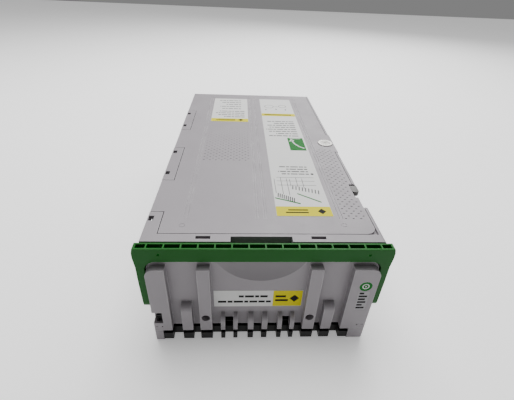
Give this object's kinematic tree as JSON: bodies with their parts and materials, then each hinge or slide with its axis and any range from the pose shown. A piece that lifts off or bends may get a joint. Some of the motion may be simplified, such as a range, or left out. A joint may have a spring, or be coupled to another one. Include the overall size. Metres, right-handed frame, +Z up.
{
  "type": "banknote cassette",
  "caption": "Removable banknote cassette of a cash machine: ribbed note throat in front, swinging carrying handle, hinged locking lid, roller feed and belt-driven push plate inside.",
  "frame": {"origin": "centre of the base, on the surface that the cassette lies on", "axes": "+Z up through the lid, +Y from the note throat to the back wall, +X to the side with the lock"},
  "size_m": [0.2402, 0.47, 0.1257],
  "materials": {
    "case_grey": "light grey moulded plastic, fine spark texture",
    "green_plastic": "glossy green moulded plastic",
    "black_plastic": "black moulded plastic",
    "dark_plastic": "dark grey moulded plastic",
    "gear_plastic": "black acetal",
    "white_plastic": "white acetal",
    "steel": "ground steel",
    "zinc_plate": "zinc-plated sheet steel",
    "lock_metal": "nickel-plated, polished",
    "bronze": "sintered bronze",
    "rubber": "grey-black elastomer",
    "belt_rubber": "toothed belt rubber",
    "label_white": "printed paper label, white with yellow and green fields",
    "label_green": "printed green disc"
  },
  "bodies": {
    "root": {"case_body": "case_grey", "front_feet": "case_grey", "throat_cover": "case_grey", "throat_comb": "black_plastic", "upper_guide": "black_plastic", "turn_guide": "black_plastic", "stack_front_plate": "black_plastic", "left_side_plate": "zinc_plate", "right_side_plate": "zinc_plate", "input_gear_stud": "steel", "idler_stud": "steel", "feed_bushes": "bronze", "pinch_bushes": "bronze", "stacker_bushes": "bronze", "coupling_bush": "bronze", "guide_rods": "steel", "rod_brackets": "black_plastic", "push_belt": "belt_rubber", "rear_pulley_stud": "steel", "handle_pivot_pins": "steel", "lid_hinge_pins": "steel", "cover_screws": "steel", "latch_spring": "steel", "front_label": "label_white", "column_mark": "label_green"},
    "handle": {"carry_handle": "green_plastic"},
    "lid": {"lid": "case_grey", "lock_body": "lock_metal", "lock_nut": "zinc_plate", "lid_label_long": "label_white", "lid_label_rear": "label_white"},
    "lock": {"lock_barrel": "lock_metal", "lock_cam": "zinc_plate", "cam_screw": "steel"},
    "latch": {"lid_latch": "dark_plastic"},
    "push_plate": {"push_plate": "dark_plastic", "push_plate_bushes": "bronze", "belt_clamp": "black_plastic"},
    "front_pulley": {"front_pulley": "white_plastic", "drive_coupling": "white_plastic"},
    "rear_pulley": {"rear_pulley": "white_plastic"},
    "input_gear": {"input_gear": "gear_plastic"},
    "feed_shaft": {"feed_shaft": "steel", "feed_gear": "gear_plastic", "feed_rollers": "rubber"},
    "pinch_shaft": {"pinch_shaft": "steel", "pinch_rollers": "white_plastic"},
    "idler_gear": {"idler_gear": "white_plastic"},
    "stacker_shaft": {"stacker_shaft": "steel", "stacker_gear": "gear_plastic", "stacker_wheels": "rubber"}
  },
  "joints": [
    {"name": "handle_fold", "type": "hinge", "parent": "root", "child": "handle", "pos_m": [0, -0.2225, 0.054], "axis": [1, 0, 0], "range_deg": [0, 90]},
    {"name": "lid_open", "type": "hinge", "parent": "root", "child": "lid", "pos_m": [-0.1115, 0, 0.1205], "axis": [0, -1, 0], "range_deg": [0, 100]},
    {"name": "lock_turn", "type": "hinge", "parent": "lid", "child": "lock", "pos_m": [0.1022, 0.0035, 0.1245], "axis": [0, 0, -1], "range_deg": [0, 90]},
    {"name": "latch_slide", "type": "slide", "parent": "root", "child": "latch", "axis": [0, -1, 0], "range_m": [0, 0.008], "stiffness_N_per_m": 300},
    {"name": "push_plate_slide", "type": "slide", "parent": "root", "child": "push_plate", "axis": [0, -1, 0], "range_m": [0, 0.336]},
    {"name": "front_pulley_spin", "type": "hinge", "parent": "root", "child": "front_pulley", "pos_m": [0.1, -0.16, 0.08], "axis": [1, 0, 0], "range_deg": [-2228, 0]},
    {"name": "rear_pulley_spin", "type": "hinge", "parent": "root", "child": "rear_pulley", "pos_m": [0.1, 0.215, 0.08], "axis": [1, 0, 0], "range_deg": [-2228, 0]},
    {"name": "input_spin", "type": "hinge", "parent": "root", "child": "input_gear", "pos_m": [-0.104, -0.22135, 0.03781], "axis": [1, 0, 0], "continuous": true},
    {"name": "feed_spin", "type": "hinge", "parent": "root", "child": "feed_shaft", "pos_m": [0, -0.207, 0.0218], "axis": [1, 0, 0], "continuous": true},
    {"name": "pinch_spin", "type": "hinge", "parent": "root", "child": "pinch_shaft", "pos_m": [0, -0.207, 0.0085], "axis": [1, 0, 0], "continuous": true},
    {"name": "idler_spin", "type": "hinge", "parent": "root", "child": "idler_gear", "pos_m": [-0.104, -0.2042, 0.04599], "axis": [1, 0, 0], "continuous": true},
    {"name": "stacker_spin", "type": "hinge", "parent": "root", "child": "stacker_shaft", "pos_m": [0, -0.185, 0.062], "axis": [1, 0, 0], "continuous": true}
  ],
  "couplings": [
    {"joint": "front_pulley_spin", "follows": "push_plate_slide", "rad_per_m": -115.61},
    {"joint": "rear_pulley_spin", "follows": "push_plate_slide", "rad_per_m": -115.61},
    {"joint": "idler_spin", "follows": "stacker_spin", "ratio": -1.7778},
    {"joint": "input_spin", "follows": "stacker_spin", "ratio": 1.6},
    {"joint": "feed_spin", "follows": "stacker_spin", "ratio": -1.3913},
    {"joint": "pinch_spin", "follows": "stacker_spin", "ratio": 2.2261}
  ]
}
